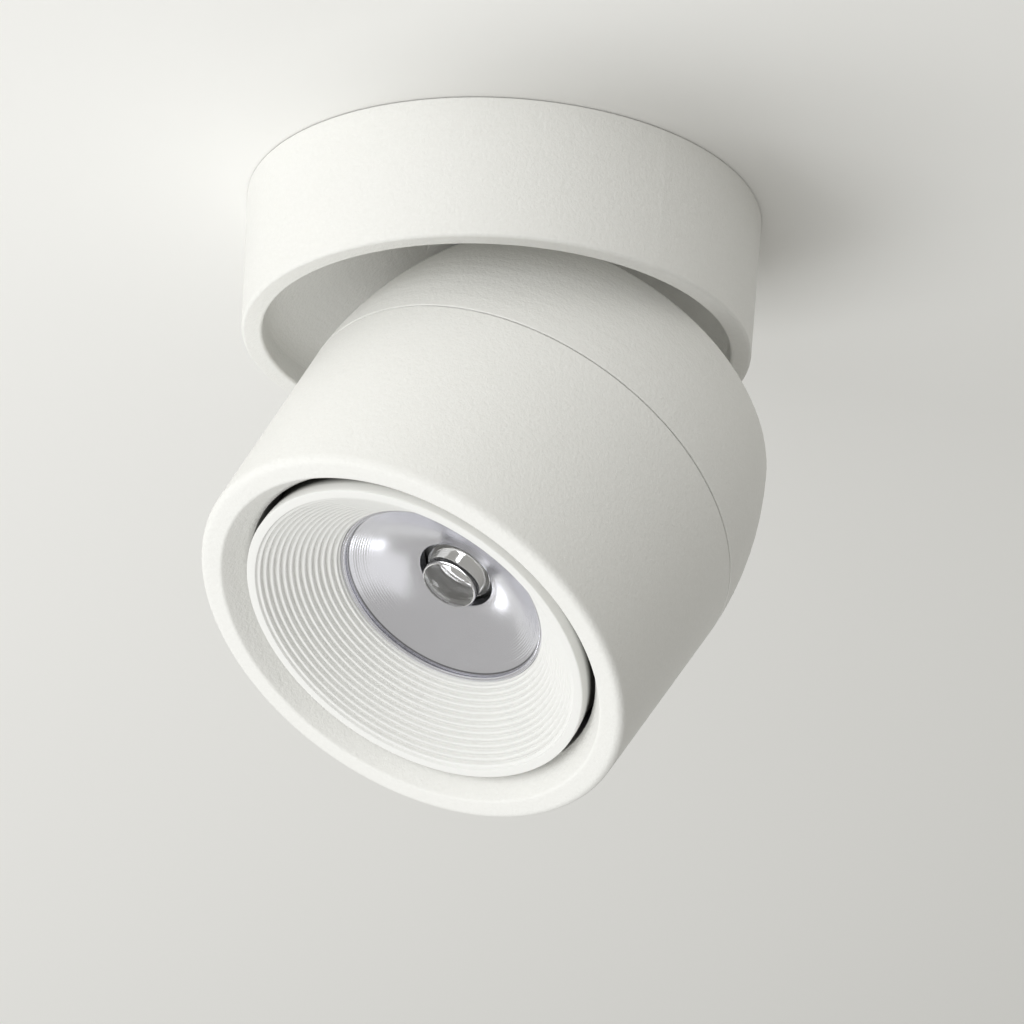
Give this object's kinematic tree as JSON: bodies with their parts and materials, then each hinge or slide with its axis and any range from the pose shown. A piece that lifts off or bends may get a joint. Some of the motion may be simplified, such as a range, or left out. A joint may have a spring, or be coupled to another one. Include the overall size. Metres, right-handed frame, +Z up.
{
  "type": "adjustable ceiling spotlight",
  "caption": "Surface-mounted ceiling spotlight: a white ring with a round head under it that swivels and tilts, with a ribbed baffle round a bright optic.",
  "frame": {"origin": "centre of the canopy's face that meets the ceiling", "axes": "+Z up into the ceiling, along the swivel axis; the tilt hinge lies along X and the head leans towards -Y"},
  "size_m": [0.09, 0.0983, 0.1056],
  "materials": {
    "white_powder_coat": "fine matt powder coat",
    "white_baffle": "matt moulded",
    "zinc_plate": "zinc plated",
    "cast_aluminium": "as cast",
    "bright_metal": "vacuum metallised",
    "clear_optic": "clear moulded acrylic",
    "brass": "turned",
    "natural_nylon": "moulded",
    "rubber": "moulded",
    "green_laminate": "lacquered laminate",
    "yellow_tape": "tape wrap",
    "black_sleeve": "shrink sleeve",
    "copper_winding": "enamelled wire",
    "grey_silicone": "silicone sheet",
    "phosphor": "phosphor in silicone",
    "spring_steel": "rolled strip"
  },
  "bodies": {
    "base": {"ceiling_plate": "zinc_plate", "plate_standoffs": "brass", "cable_bush": "rubber", "terminal_block": "natural_nylon", "terminal_screws": "brass", "canopy": "white_powder_coat", "canopy_screws": "zinc_plate"},
    "arm": {"swivel_bearing": "natural_nylon", "stop_washer": "zinc_plate", "wave_washer": "zinc_plate", "swivel_nut": "zinc_plate", "tilt_arm": "white_powder_coat"},
    "head": {"hinge_washers": "natural_nylon", "hinge_pin": "zinc_plate", "hinge_nut": "zinc_plate", "front_shell": "white_powder_coat", "rear_shell": "white_powder_coat", "rear_screws": "zinc_plate", "heat_sink": "cast_aluminium", "sink_screws": "zinc_plate", "driver_board": "green_laminate", "driver_transformer": "yellow_tape", "driver_capacitors": "black_sleeve", "driver_choke": "copper_winding", "output_connector": "natural_nylon", "led_pad": "grey_silicone", "led_board": "cast_aluminium", "led_emitter": "phosphor", "led_holder": "natural_nylon", "holder_screws": "zinc_plate", "reflector": "bright_metal", "core_lens": "clear_optic", "optic_ring": "bright_metal", "baffle": "white_baffle", "baffle_clips": "spring_steel"}
  },
  "joints": [
    {"name": "swivel", "type": "hinge", "parent": "base", "child": "arm", "pos_m": [0, 0, -0.0066], "axis": [0, 0, 1], "range_deg": [-165, 165]},
    {"name": "tilt", "type": "hinge", "parent": "arm", "child": "head", "pos_m": [0, 0, -0.061], "axis": [-1, 0, 0], "range_deg": [-31, 9]}
  ]
}
